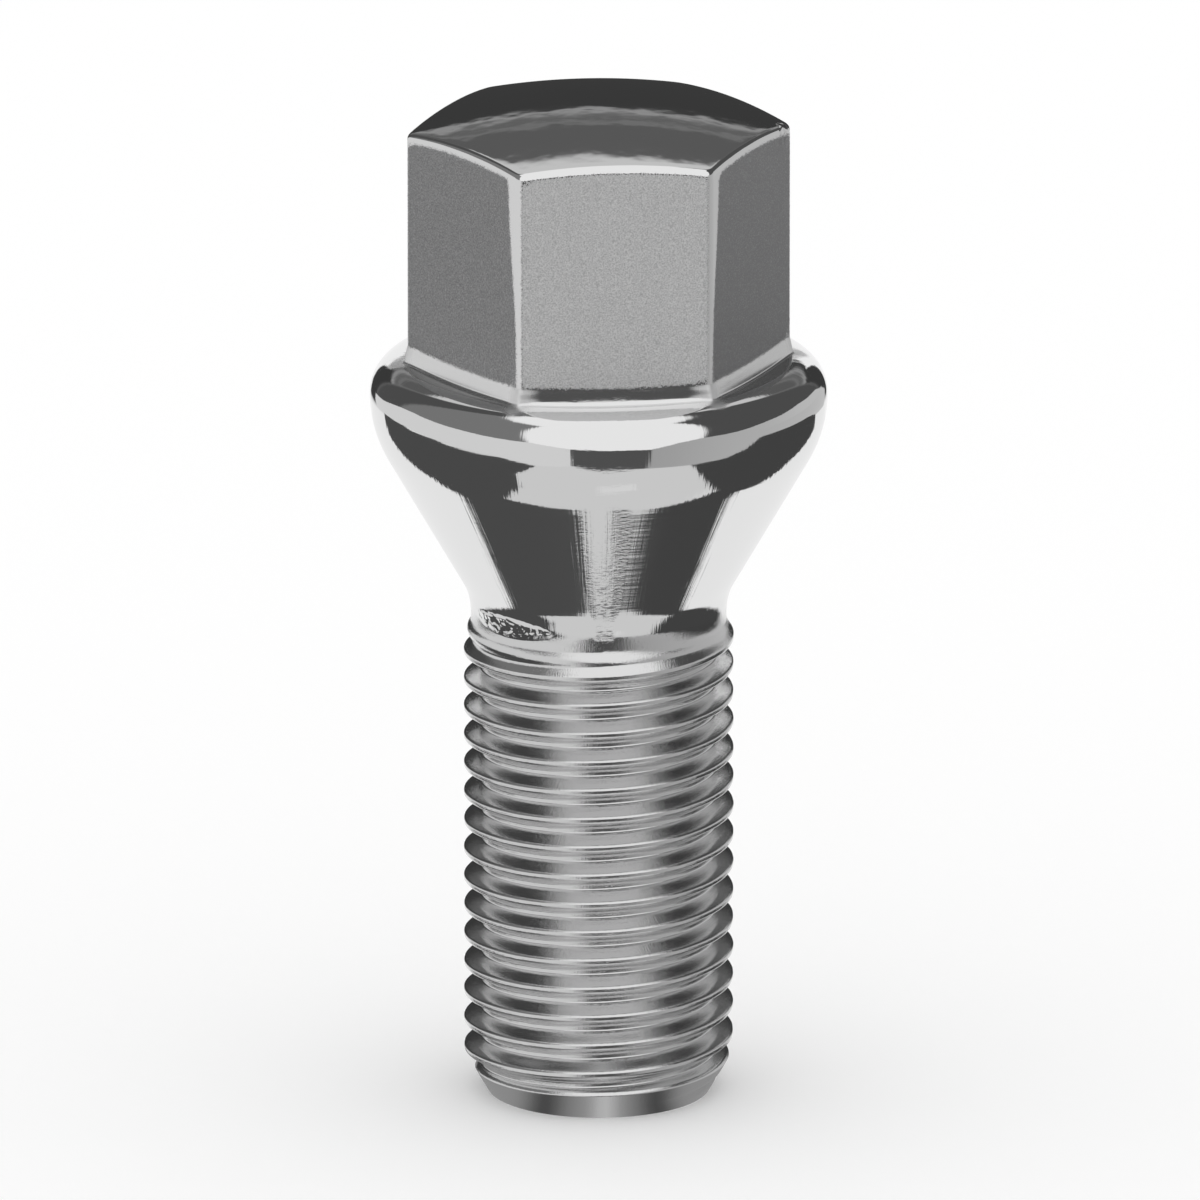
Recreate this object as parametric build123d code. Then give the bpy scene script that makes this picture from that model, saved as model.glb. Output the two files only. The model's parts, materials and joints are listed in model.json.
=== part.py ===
from build123d import *
from math import cos, radians, sin, sqrt, tan
import os

# A conical-seat wheel bolt, forged, turned and rolled in one piece, then chrome plated.
# It stands on its threaded end: the origin is the centre of that end face and +Z
# runs up the axis to the head. One flat of the hexagon faces -Y, turned a little to +X.
# Sizes are in millimetres and angles in degrees.

# Thread
THREAD_MAJOR_D = 13.75
THREAD_ROOT_D = 12.0
THREAD_PITCH = 1.5
THREAD_FLANK_ANGLE = 60.0
RUN_OUT_LENGTH = 1.6  # height over which the groove loses its depth

# End of the shank
END_FACE_D = 11.3
END_CHAMFER_ANGLE = 30.0  # between the chamfer and the axis

# Neck between the thread and the seat
NECK_D = 13.3
NECK_LENGTH = 2.3  # from the end of the thread to the small end of the seat
NECK_SHOULDER = 0.5  # height of the slope from the thread down to the neck
NECK_FILLET_R = 3.5

# Seat cone
SHANK_LENGTH = 26.9  # from the end face to the small end of the seat
SEAT_ANGLE = 60.0  # whole angle of the cone

# Collar above the seat
COLLAR_D = 23.25
COLLAR_LOWER_R = 6.4
COLLAR_UPPER_R = 1.8
COLLAR_TOP_DISH = 8.0  # fall of the collar's top towards the hexagon

# Hexagon head with a domed top
OVERALL_LENGTH = 52.0
HEX_ACROSS_FLATS = 17.0
HEX_CORNER_R = 0.5
HEX_TURN = 5.5  # azimuth of the first corner from +X
HEX_BASE_FILLET_R = 0.4
DOME_R = 36.0
DOME_EDGE_R = 0.4

# The groove's cutter: how far it stands out of the thread, and its segments in turns
CUTTER_RADIAL_REACH = 0.15
SEGMENT_TURNS = 0.75
SEGMENT_OVERLAP = 0.02

# Sizes that follow from the ones above
thread_r = THREAD_MAJOR_D / 2
root_r = THREAD_ROOT_D / 2
neck_r = NECK_D / 2
collar_r = COLLAR_D / 2
end_r = END_FACE_D / 2
half_flank = radians(THREAD_FLANK_ANGLE / 2)
half_seat = radians(SEAT_ANGLE / 2)
top_dish = radians(COLLAR_TOP_DISH)
thread_top = SHANK_LENGTH - NECK_LENGTH  # height at which the groove has run out
groove_at_x = THREAD_PITCH / 2  # height of the first groove on the +X side, half a pitch over a crest
cone_reach = 2 * RUN_OUT_LENGTH  # the run-out's cone, either way from the end of the thread

# The lower rounding of the collar touches the seat cone and the collar's widest ring.
lower_centre_r = collar_r - COLLAR_LOWER_R
tangent_r = lower_centre_r + COLLAR_LOWER_R * cos(half_seat)
tangent_z = SHANK_LENGTH + (tangent_r - thread_r) / tan(half_seat)
collar_z = tangent_z + COLLAR_LOWER_R * sin(half_seat)
head_middle = (collar_z + OVERALL_LENGTH) / 2


def arc(centre, radius, start, end):
    """An arc in the section plane, between two elevations of its outward normal."""
    angles = (start, (start + end) / 2, end)
    return ThreePointArc(*[(centre[0] + radius * cos(a), centre[1] + radius * sin(a)) for a in angles])


def blank():
    """Shank, neck, seat cone and collar, as one revolved section."""
    chamfer_top = (thread_r - end_r) / tan(radians(END_CHAMFER_ANGLE))
    neck_bottom = thread_top + NECK_SHOULDER
    neck_top = SHANK_LENGTH - (thread_r - neck_r) / tan(half_seat)
    with BuildPart() as turned:
        with BuildSketch(Plane.XZ):
            with BuildLine():
                lower = arc((lower_centre_r, collar_z), COLLAR_LOWER_R, -half_seat, 0)
                upper_centre = (collar_r - COLLAR_UPPER_R, collar_z)
                upper = arc(upper_centre, COLLAR_UPPER_R, 0, radians(90) + top_dish)
                edge = upper @ 1
                Polyline(
                    lower @ 0,
                    (neck_r, neck_top),
                    (neck_r, neck_bottom),
                    (thread_r, thread_top),
                    (thread_r, chamfer_top),
                    (end_r, 0),
                    (0, 0),
                    (0, edge.Y - edge.X * tan(top_dish)),
                    edge,
                )
            make_face()
        revolve(axis=Axis.Z)
        rings = turned.edges().filter_by(GeomType.CIRCLE)
        fillet(rings.sort_by(lambda ring: abs(ring.center().Z - neck_top))[0], NECK_FILLET_R)
    return turned.part


def head():
    """The hexagon with rounded corners, cut off by the dome, its top edge rounded."""
    with BuildPart() as hexagon:
        with BuildSketch(Plane.XY.offset(collar_z)) as section:
            RegularPolygon(HEX_ACROSS_FLATS / sqrt(3), 6, rotation=HEX_TURN)
            fillet(section.vertices(), HEX_CORNER_R)
        extrude(amount=OVERALL_LENGTH - collar_z)
        with Locations((0, 0, OVERALL_LENGTH - DOME_R)):
            Sphere(DOME_R, mode=Mode.INTERSECT)
        dome = hexagon.faces().filter_by(GeomType.SPHERE)[0]
        fillet(dome.edges(), DOME_EDGE_R)
    return hexagon.part


def groove_segment(start_z, turns):
    """A stretch of the groove cutter from one height up: two flanks, a root and an outer wall."""
    pitch_r = (thread_r + root_r) / 2
    outer_r = thread_r + CUTTER_RADIAL_REACH
    corners = []
    for radius, side in ((root_r, -1), (outer_r, -1), (outer_r, 1), (root_r, 1)):
        half_width = THREAD_PITCH / 4 + (radius - pitch_r) * tan(half_flank)
        centre = (0, 0, start_z + side * half_width)
        corners.append(Helix(THREAD_PITCH, turns * THREAD_PITCH, radius, center=centre))
    walls = [
        Face.make_surface_from_curves(corner, following)
        for corner, following in zip(corners, corners[1:] + corners[:1])
    ]
    ends = [Face(Wire.make_polygon([corner @ at for corner in corners])) for at in (0, 1)]
    azimuth = 360 * (start_z - groove_at_x) / THREAD_PITCH
    return Solid(Shell(walls + ends)).rotate(Axis.Z, azimuth)


def run_out():
    """The cone that the groove climbs at its upper end, as the body left uncut."""
    slope = (thread_r - root_r) / RUN_OUT_LENGTH
    low_r = thread_r - cone_reach * slope
    high_r = thread_r + cone_reach * slope
    return Pos(0, 0, thread_top) * Cone(low_r, high_r, 2 * cone_reach)


def thread_groove():
    """The right-hand helical groove between the threads, in overlapping segments."""
    segments = []
    uncut = run_out()
    start_z = groove_at_x - THREAD_PITCH
    while start_z < thread_top + THREAD_PITCH / 2:
        segment = groove_segment(start_z, SEGMENT_TURNS + SEGMENT_OVERLAP)
        if start_z + (SEGMENT_TURNS + 1) * THREAD_PITCH > thread_top - RUN_OUT_LENGTH:
            segments += (segment - uncut).solids()
        else:
            segments.append(segment)
        start_z += SEGMENT_TURNS * THREAD_PITCH
    return segments


def wheel_bolt():
    """The whole bolt as one solid."""
    with BuildPart() as bolt:
        add(blank())
        add(head())
        foot = [
            edge
            for edge in bolt.edges()
            if edge.geom_type not in (GeomType.LINE, GeomType.CIRCLE)
            and collar_z < edge.center().Z < head_middle
        ]
        fillet(foot, HEX_BASE_FILLET_R)
    return bolt.part.cut(*thread_groove())


os.makedirs("parts", exist_ok=True)
bolt = wheel_bolt()
bolt.label = "wheel_bolt"
export_step(bolt, "parts/wheel_bolt.step")
print("wheel_bolt volume mm3", round(bolt.volume, 1))
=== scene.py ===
"""Finish of a chrome-plated wheel bolt, laid out as an add-on and run as a script."""

import json
import math

import bpy
import numpy as np
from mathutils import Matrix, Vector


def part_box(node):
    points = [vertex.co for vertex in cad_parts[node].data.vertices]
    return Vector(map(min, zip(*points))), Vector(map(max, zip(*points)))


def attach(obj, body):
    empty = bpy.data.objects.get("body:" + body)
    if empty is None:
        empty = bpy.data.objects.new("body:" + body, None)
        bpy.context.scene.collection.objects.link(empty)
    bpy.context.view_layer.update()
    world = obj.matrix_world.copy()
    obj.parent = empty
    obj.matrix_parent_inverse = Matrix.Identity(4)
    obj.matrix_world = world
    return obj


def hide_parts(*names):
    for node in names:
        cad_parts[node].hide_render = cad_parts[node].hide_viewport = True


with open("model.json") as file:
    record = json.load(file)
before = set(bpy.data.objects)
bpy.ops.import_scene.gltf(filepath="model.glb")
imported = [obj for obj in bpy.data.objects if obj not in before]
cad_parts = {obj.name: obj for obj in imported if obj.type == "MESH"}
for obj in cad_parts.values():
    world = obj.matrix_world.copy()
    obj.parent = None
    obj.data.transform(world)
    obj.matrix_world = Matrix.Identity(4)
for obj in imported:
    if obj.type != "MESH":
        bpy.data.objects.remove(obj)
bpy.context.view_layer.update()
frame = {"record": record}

bl_info = {
    "name": "Wheel bolt finish",
    "version": (1, 0, 0),
    "blender": (4, 5, 0),
    "location": "View3D > Sidebar > Wheel Bolt",
    "description": "Models and finishes a chrome-plated conical-seat wheel bolt",
    "category": "Object",
}

MM = 0.001
NODE = "wheel_bolt"
LOW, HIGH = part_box(NODE)
THREAD = next(m for m in frame["record"]["mounts"] if m["name"] == "thread")["dims"]
PICTURE_PX = 1200  # width and height of the photograph


class BoltShape(bpy.types.PropertyGroup):
    """Sizes of the bolt's surface: lengths in metres, angles in radians."""

    thread_r: bpy.props.FloatProperty(
        name="Thread crest radius",
        description="Radius over the crests of the rolled thread",
        default=THREAD["r_mm"] * MM,
        unit="LENGTH",
    )
    root_r: bpy.props.FloatProperty(
        name="Thread root radius",
        description="Radius at the bottom of the groove",
        default=6.0 * MM,
        unit="LENGTH",
    )
    pitch: bpy.props.FloatProperty(
        name="Thread pitch",
        description="Height from one crest to the next",
        default=1.5 * MM,
        unit="LENGTH",
    )
    flank_angle: bpy.props.FloatProperty(
        name="Flank angle",
        description="Angle between each flank of the rolled thread and a level plane",
        default=math.radians(27.6),
        subtype="ANGLE",
    )
    crest_rounding: bpy.props.FloatProperty(
        name="Crest rounding",
        description="Depth over which the flank rounds into the crest",
        default=0.14 * MM,
        unit="LENGTH",
    )
    root_rounding: bpy.props.FloatProperty(
        name="Root rounding",
        description="Depth over which the flank rounds into the root",
        default=0.09 * MM,
        unit="LENGTH",
    )
    crest_wander: bpy.props.FloatProperty(
        name="Crest wander",
        description="How far the rolled crest strays inwards along the thread",
        default=0.04 * MM,
        unit="LENGTH",
    )
    end_r: bpy.props.FloatProperty(
        name="End face radius",
        description="Radius of the flat end that the bolt stands on",
        default=5.65 * MM,
        unit="LENGTH",
    )
    neck_r: bpy.props.FloatProperty(
        name="Neck radius",
        description="Radius at the bottom of the hollow neck, where the thread has run out",
        default=6.5 * MM,
        unit="LENGTH",
    )
    neck_z: bpy.props.FloatProperty(
        name="Neck height",
        description="Height at which the thread has run out into the neck",
        default=24.95 * MM,
        unit="LENGTH",
    )
    seat_z: bpy.props.FloatProperty(
        name="Seat height",
        description="Height at which the seat cone has the thread's radius",
        default=26.9 * MM,
        unit="LENGTH",
    )
    neck_height: bpy.props.FloatProperty(
        name="Neck length",
        description="Height of the hollow between the thread and the seat cone",
        default=2.0 * MM,
        unit="LENGTH",
    )
    seat_angle: bpy.props.FloatProperty(
        name="Seat half angle",
        description="Angle between the seat cone and the axis",
        default=math.radians(30),
        subtype="ANGLE",
    )
    collar_lower_r: bpy.props.FloatProperty(
        name="Collar lower rounding",
        description="Rounding between the seat cone and the collar's widest ring",
        default=6.4 * MM,
        unit="LENGTH",
    )
    collar_upper_r: bpy.props.FloatProperty(
        name="Collar upper rounding",
        description="Rounding over the collar's rim",
        default=1.8 * MM,
        unit="LENGTH",
    )
    collar_dish: bpy.props.FloatProperty(
        name="Collar top dish",
        description="Fall of the collar's top towards the hexagon",
        default=math.radians(8.0),
        subtype="ANGLE",
    )
    across_flats: bpy.props.FloatProperty(
        name="Across flats",
        description="Width of the hexagon between two opposite flats",
        default=17.0 * MM,
        unit="LENGTH",
    )
    hex_corner_r: bpy.props.FloatProperty(
        name="Hexagon corner rounding",
        description="Rounding of the hexagon's upright corners",
        default=0.5 * MM,
        unit="LENGTH",
    )
    hex_turn: bpy.props.FloatProperty(
        name="Hexagon turn",
        description="Azimuth of the hexagon's first corner from +X",
        default=math.radians(5.5),
        subtype="ANGLE",
    )
    foot_r: bpy.props.FloatProperty(
        name="Hexagon foot fillet",
        description="Hollow where the hexagon's flats meet the collar",
        default=0.15 * MM,
        unit="LENGTH",
    )
    flare_height: bpy.props.FloatProperty(
        name="Flare height",
        description="Height over which the hexagon spreads towards its foot",
        default=0.72 * MM,
        unit="LENGTH",
    )
    flare_reach: bpy.props.FloatProperty(
        name="Flare reach",
        description="How far the hexagon spreads at its foot",
        default=0.16 * MM,
        unit="LENGTH",
    )
    polished_foot: bpy.props.FloatProperty(
        name="Polished foot",
        description="Height of the bright band over the flare on the flat that faces -Y",
        default=0.08 * MM,
        unit="LENGTH",
    )
    satin_margin: bpy.props.FloatProperty(
        name="Bright margin",
        description="Widest part of the bright strips beside the front flat's corners",
        default=0.55 * MM,
        unit="LENGTH",
    )
    dome_r: bpy.props.FloatProperty(
        name="Dome radius",
        description="Radius of the sphere that the top is part of",
        default=36.0 * MM,
        unit="LENGTH",
    )
    dome_edge_r: bpy.props.FloatProperty(
        name="Dome edge rounding",
        description="Rounding between the dome and the hexagon's flats",
        default=0.4 * MM,
        unit="LENGTH",
    )


class StudioSettings(bpy.types.PropertyGroup):
    """Camera of the plain studio."""

    elevation: bpy.props.FloatProperty(
        name="Camera elevation",
        description="Angle at which the camera looks down on the bolt",
        default=math.radians(16.3),
        subtype="ANGLE",
    )
    distance: bpy.props.FloatProperty(
        name="Camera distance",
        description="Distance of the camera from the middle of the bolt",
        default=2.0,
        unit="LENGTH",
    )
    pixels_per_mm: bpy.props.FloatProperty(
        name="Picture scale",
        description="Pixels to a millimetre of the bolt in the 1200 pixel picture",
        default=19.68,
    )
    axis_px: bpy.props.FloatProperty(
        name="Axis column",
        description="Picture column of the bolt's axis",
        default=598.7,
    )
    foot_px: bpy.props.FloatProperty(
        name="Foot row",
        description="Picture row of the centre of the end face",
        default=1087.5,
    )


# Numbers of the surface


SIXTH = math.radians(60)  # azimuth of one side of the hexagon
CORNER_COLUMNS = 9  # mesh columns over the rounding of a corner
FLAT_COLUMNS = 21

# Phases of the pitch with a mesh row, from the crest to the root, mirrored past the root
HALF_PHASES = np.array([0.0, 0.022, 0.044, 0.066, 0.088, 0.11, 0.14, 0.26, 0.375, 0.4, 0.425, 0.455])
THREAD_PHASES = np.concatenate([HALF_PHASES, 1.0 - HALF_PHASES[:0:-1]])
SNAP_SHARE = 0.02  # rows this near to the end face or the neck, in pitches, are laid on it

# Ends of the thread: three heights under the neck, and the chamfer's angle to the axis
FADE_START = 2.1 * MM
FADE_END = 0.1 * MM
CREST_BEND = 0.9 * MM
END_CHAMFER = math.radians(30)
END_ROUNDING = 0.12 * MM

# Crossing sine waves, and the crest's wander, which is made of them
OCTAVES = 4
WAVES_PER_OCTAVE = 5
SHORTER = 1.9  # each octave than the one before
WEAKER = 1.6
WAVE_SPREAD = (0.8, 1.2)
WAVES_PEAK = 1.2
WANDER_SEED = 11
WANDER_WAVE = 6.0 * MM
WANDER_DRIFT = 0.7

# Lean of the neck's wall at parts of its height from the bottom up, in shares of the seat's angle
NECK_PARTS = (0.0, 0.125, 0.325, 0.575, 0.825, 1.0)
NECK_LEANS = (-0.13, 0.0, 0.2, 0.4, 0.73, 1.0)

# Mesh rows: how many, or at which parts of the end face's radius and of the flare's height
END_PARTS = (0.35, 0.7, 0.92, 1.0)
NECK_ROWS = 13
CONE_ROWS = 14
LOWER_ROWS = 18
RIM_ROWS = 28
HOLLOW_ROWS = 7
FLARE_PARTS = (0.25, 0.5, 0.75, 0.92, 1.0, 1.08)
WALL_START = 0.01
WALL_ROWS = 22
EDGE_ROWS = 7
DOME_ROWS = 22

# The flat that faces -Y, from 0 after the first corner, and how its foot differs: a larger hollow
# under a shorter and steeper flare, fading between two angles from the middle of the flat
FRONT_FLAT = 4
FRONT_HOLLOW_MORE = 0.3
FRONT_REACH_LESS = 0.66
FRONT_HEIGHT_LESS = 0.15
FRONT_FADE = np.radians([27.5, 30.5])

# The satin: a painted shade on each flat, lightest on the flat that faces -Y and darkest on the two
# beside it, and the bright strips round it. Beside the front flat's corners a strip grows, in
# margins, from its low width to 1 at the top. At the other corners its width is below 0, so that
# the satin runs on over the rounding.
FLAT_PAINTED_SHADE = np.array([0.6, 0.6, 0.6, 0.8, 0.24, 1.0])
STRIP_START = 0.15
STRIP_LOW = -0.2
STRIP_ELSEWHERE = -0.25
TOP_STRIP = 0.12 * MM
SIDE_FOOT_SHARE = 0.1
SATIN_LIMIT = 4.0

# The foot: how rough the side flats' flare is, and how far the roughness reaches round a corner,
# out of the wall at a corner and on the flare, and over the flare
FLARE_ROUGH = 0.5
CORNER_TURN = np.radians([2, 6])
CORNER_REACH = np.array([0.72, 1.2]) * MM
FLARE_OUT = np.array([0.18, 0.3]) * MM
FOOT_END = 0.1 * MM

NO_TRIANGLES = np.empty((0, 3), int)


# Shape helpers


def smooth_step(value, low, high):
    """Rises from 0 at low to 1 at high along the cubic 3t^2 - 2t^3."""
    t = np.clip((value - low) / (high - low), 0.0, 1.0)
    return t * t * (3.0 - 2.0 * t)


def soft_min(a, b, width):
    """The smaller of two values, rounded where they cross over the given width."""
    gap = np.clip(0.5 + 0.5 * (b - a) / width, 0.0, 1.0)
    return b + (a - b) * gap - width * gap * (1.0 - gap)


def soft_max(a, b, width):
    """The larger of two values, rounded where they cross over the given width."""
    return -soft_min(-a, -b, width)


def waves(u, v, seed, scale):
    """A smooth random field between about -1 and 1: a sum of crossing sine waves whose
    directions and phases come from a seeded generator, shorter and weaker by octave."""
    random = np.random.default_rng(seed)
    total = np.zeros_like(u)
    for octave in range(OCTAVES):
        for _ in range(WAVES_PER_OCTAVE):
            angle, phase = random.uniform(0, 2 * math.pi, 2)
            k = 2 * math.pi / scale * SHORTER**octave * random.uniform(*WAVE_SPREAD)
            along = u * math.cos(angle) + v * math.sin(angle)
            total += np.sin(k * along + phase) / WEAKER**octave
    return total / WAVES_PER_OCTAVE


# Hexagon


def flat_half_width(shape):
    """Half the width of a flat between the roundings of its two corners."""
    return (shape.across_flats / 2 - shape.hex_corner_r) * math.tan(SIXTH / 2)


def corner_half_span(shape):
    """Half the azimuth that the rounding of a corner takes up."""
    return SIXTH / 2 - math.atan2(flat_half_width(shape), shape.across_flats / 2)


def from_nearest_corner(shape, azimuth):
    """Azimuth from the nearest corner of the hexagon, up to half a side either way."""
    return (azimuth - shape.hex_turn + SIXTH / 2) % SIXTH - SIXTH / 2


def flat_number(shape, azimuth):
    """Number of the flat at each azimuth, from 0 after the first corner."""
    return np.floor((azimuth - shape.hex_turn) / SIXTH).astype(int) % 6


def hexagon_columns(shape):
    """Azimuths of the mesh columns: some close together over each corner's rounding, then the
    flat's columns, evenly spaced. All six sides alike."""
    half_span = corner_half_span(shape)
    corner = np.linspace(-half_span, half_span, CORNER_COLUMNS)
    flat = np.linspace(half_span, SIXTH - half_span, FLAT_COLUMNS + 2)[1:-1]
    side = np.concatenate([corner, flat])
    corners = shape.hex_turn + SIXTH * np.arange(6)
    return (corners[:, None] + side[None, :]).ravel()


def hexagon_radius(shape, azimuth):
    """Distance from the axis to the rounded hexagon at each azimuth: the flat's apothem over the
    cosine of the angle to the flat's middle, or the far crossing with the corner's circle."""
    apothem = shape.across_flats / 2
    from_corner = from_nearest_corner(shape, azimuth)
    flat = apothem / np.cos(SIXTH / 2 - np.abs(from_corner))
    centre = (apothem - shape.hex_corner_r) / math.cos(SIXTH / 2)
    across = centre * np.sin(from_corner)
    reach = np.sqrt(np.maximum(shape.hex_corner_r**2 - across**2, 0.0))
    circle = centre * np.cos(from_corner) + reach
    return np.where(np.abs(from_corner) < corner_half_span(shape), circle, flat)


# Shank


def thread_depth(shape, phase):
    """Depth of the thread's surface under the crest at each phase of the pitch: a trapezoid with
    straight flanks, rounded at crest and root."""
    from_crest = np.abs((phase + 0.5) % 1.0 - 0.5) * shape.pitch
    full = shape.thread_r - shape.root_r
    crest_half = (shape.pitch / 2 - full * math.tan(shape.flank_angle)) / 2
    flank = (from_crest - crest_half) / math.tan(shape.flank_angle)
    depth = soft_max(flank, np.zeros_like(flank), shape.crest_rounding)
    return soft_min(depth, np.full_like(flank, full), shape.root_rounding)


def thread_rows(shape, azimuth):
    """Radius and height of the threaded shank on a grid whose rows follow the helix: row k stands
    at its phase of the pitch plus azimuth / turn, held between the end face and the neck."""
    turns = int(round(shape.neck_z / shape.pitch)) + 2
    phase = (np.arange(turns)[:, None] + THREAD_PHASES[None, :]).ravel() - 1.0
    height = shape.pitch * (phase[:, None] + azimuth[None, :] / (2 * math.pi))
    snap = SNAP_SHARE * shape.pitch
    height = np.where(height < snap, 0.0, height)
    height = np.where(height > shape.neck_z - snap, shape.neck_z, height)
    fade = 1.0 - smooth_step(height, shape.neck_z - FADE_START, shape.neck_z - FADE_END)
    bend = smooth_step(height, shape.neck_z - CREST_BEND, shape.neck_z)
    crest = shape.thread_r + (shape.neck_r - shape.thread_r) * bend
    drift = WANDER_DRIFT * height
    across = shape.thread_r * np.cos(azimuth)[None, :] + drift
    away = shape.thread_r * np.sin(azimuth)[None, :] - drift
    wander = waves(across, away, WANDER_SEED, WANDER_WAVE)
    uneven = shape.crest_wander * (wander - WAVES_PEAK) / 2
    radius = crest + uneven * fade - thread_depth(shape, phase[:, None]) * fade
    chamfer = shape.end_r + height * math.tan(END_CHAMFER)
    radius = soft_min(radius, chamfer, END_ROUNDING)
    radius = np.where(height <= 0.0, shape.end_r, radius)
    radius = np.where(height >= shape.neck_z, shape.neck_r, radius)
    return radius, height


def turned_rows(shape):
    """Radius and height of the turned rows above the thread, from the neck up to the collar's
    widest ring: neck, hollow to the seat, seat cone, lower rounding."""
    part = np.linspace(0.0, 1.0, NECK_ROWS + 1)
    lean = np.interp(part, NECK_PARTS, NECK_LEANS) * shape.seat_angle
    rise = np.tan((lean[1:] + lean[:-1]) / 2) * np.diff(part) * shape.neck_height
    hollow_r = shape.neck_r + np.cumsum(rise)
    hollow_z = shape.neck_z + part[1:] * shape.neck_height
    collar_r = (HIGH[0] - LOW[0]) / 2
    centre_r = collar_r - shape.collar_lower_r
    tangent_r = centre_r + shape.collar_lower_r * math.cos(shape.seat_angle)
    tangent_z = shape.seat_z + (tangent_r - shape.thread_r) / math.tan(shape.seat_angle)
    collar_z = tangent_z + shape.collar_lower_r * math.sin(shape.seat_angle)
    cone_r = np.linspace(hollow_r[-1], tangent_r, CONE_ROWS + 2)[1:-1]
    cone_z = np.linspace(hollow_z[-1], tangent_z, CONE_ROWS + 2)[1:-1]
    turn = np.linspace(-shape.seat_angle, 0.0, LOWER_ROWS)
    lower_r = centre_r + shape.collar_lower_r * np.cos(turn)
    lower_z = collar_z + shape.collar_lower_r * np.sin(turn)
    return np.concatenate([hollow_r, cone_r, lower_r]), np.concatenate([hollow_z, cone_z, lower_z])


# Head


def collar_rows(shape, low_wall, hollow, collar_z):
    """Rows over the collar's rim and its dished top and up the hollow to the foot of the hexagon,
    and the height at which the hollow ends. Where a corner of the hexagon stands on the rim's
    rounding itself, the hollow touches the rounding instead of the dished top."""
    upper = shape.collar_upper_r
    rim_r = (HIGH[0] - LOW[0]) / 2 - upper
    touch = (low_wall + hollow - rim_r) / (upper + hollow)
    turn_end = np.arccos(np.clip(touch, -math.sin(shape.collar_dish), 1.0))
    slope = math.pi / 2 - turn_end
    edge_r = rim_r + upper * np.cos(turn_end)
    edge_z = collar_z + upper * np.sin(turn_end)
    on_rim = touch > -math.sin(shape.collar_dish)
    toe_r = np.where(on_rim, edge_r, low_wall + hollow * (1 - np.sin(slope)))
    dish_z = edge_z + (edge_r - low_wall - hollow) * np.tan(slope) + hollow / np.cos(slope)
    foot_z = np.where(on_rim, collar_z + (upper + hollow) * np.sin(turn_end), dish_z)
    rim_length = upper * turn_end
    length = rim_length + (edge_r - toe_r) / np.cos(slope)
    rows = []
    for part in np.linspace(0.0, 1.0, RIM_ROWS + 2)[1:-1]:
        turn = np.minimum(length * part, rim_length) / upper
        past = np.maximum(length * part - rim_length, 0.0)
        radius = rim_r + upper * np.cos(turn) - past * np.cos(slope)
        rows.append((radius, collar_z + upper * np.sin(turn) + past * np.sin(slope)))
    for part in np.linspace(0.0, 1.0, HOLLOW_ROWS):
        turn = slope + (math.pi / 2 - slope) * part
        rows.append((low_wall + hollow * (1 - np.sin(turn)), foot_z - hollow * np.cos(turn)))
    return rows, foot_z


def upper_rows(shape, wall, low_z):
    """Rows up the flats, over the rounded upper edge and along the dome to near its pole, and the
    height at which the flats end."""
    centre_z = HIGH[2] - shape.dome_r
    edge = shape.dome_edge_r
    round_z = centre_z + np.sqrt((shape.dome_r - edge) ** 2 - (wall - edge) ** 2)
    lean = np.arctan2(round_z - centre_z, wall - edge)
    rows = []
    for part in np.linspace(0.0, 1.0, WALL_ROWS + 2)[1:-1]:
        share = WALL_START + (1.0 - WALL_START) * part
        rows.append((wall, low_z + (round_z - low_z) * share))
    for part in np.linspace(0.0, 1.0, EDGE_ROWS):
        turn = lean * part
        rows.append((wall - edge + edge * np.cos(turn), round_z + edge * np.sin(turn)))
    dome_edge = rows[-1][0]
    for part in np.linspace(1.0, 0.0, DOME_ROWS + 2)[1:-1]:
        radius = dome_edge * part
        rows.append((radius, centre_z + np.sqrt(shape.dome_r**2 - radius**2)))
    return rows, round_z


def head_rows(shape, azimuth, collar_z):
    """Radius and height rows of the head at each azimuth, from the collar's upper rounding to the
    dome, with how far each point lies in the satin and how rough the foot is."""
    wall = hexagon_radius(shape, azimuth)
    from_front = np.abs(azimuth - shape.hex_turn - (FRONT_FLAT + 0.5) * SIXTH)
    front = 1.0 - smooth_step(from_front, *FRONT_FADE)
    hollow = shape.foot_r * (1.0 + FRONT_HOLLOW_MORE * front)
    reach = shape.flare_reach * (1.0 - FRONT_REACH_LESS * front)
    rise = shape.flare_height * (1.0 - FRONT_HEIGHT_LESS * front)
    rows, foot_z = collar_rows(shape, wall + reach, hollow, collar_z)
    for part in FLARE_PARTS:
        rows.append((wall + reach * max(1.0 - part, 0.0), foot_z + rise * part))
    flare_z = foot_z + rise
    rows_above, round_z = upper_rows(shape, wall, flare_z)
    radius, height = [np.array(values) for values in zip(*(rows + rows_above))]
    satin = satin_share(shape, azimuth, height, flare_z, round_z)
    return radius, height, satin, foot_share(shape, azimuth, radius, height, flare_z)


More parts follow.
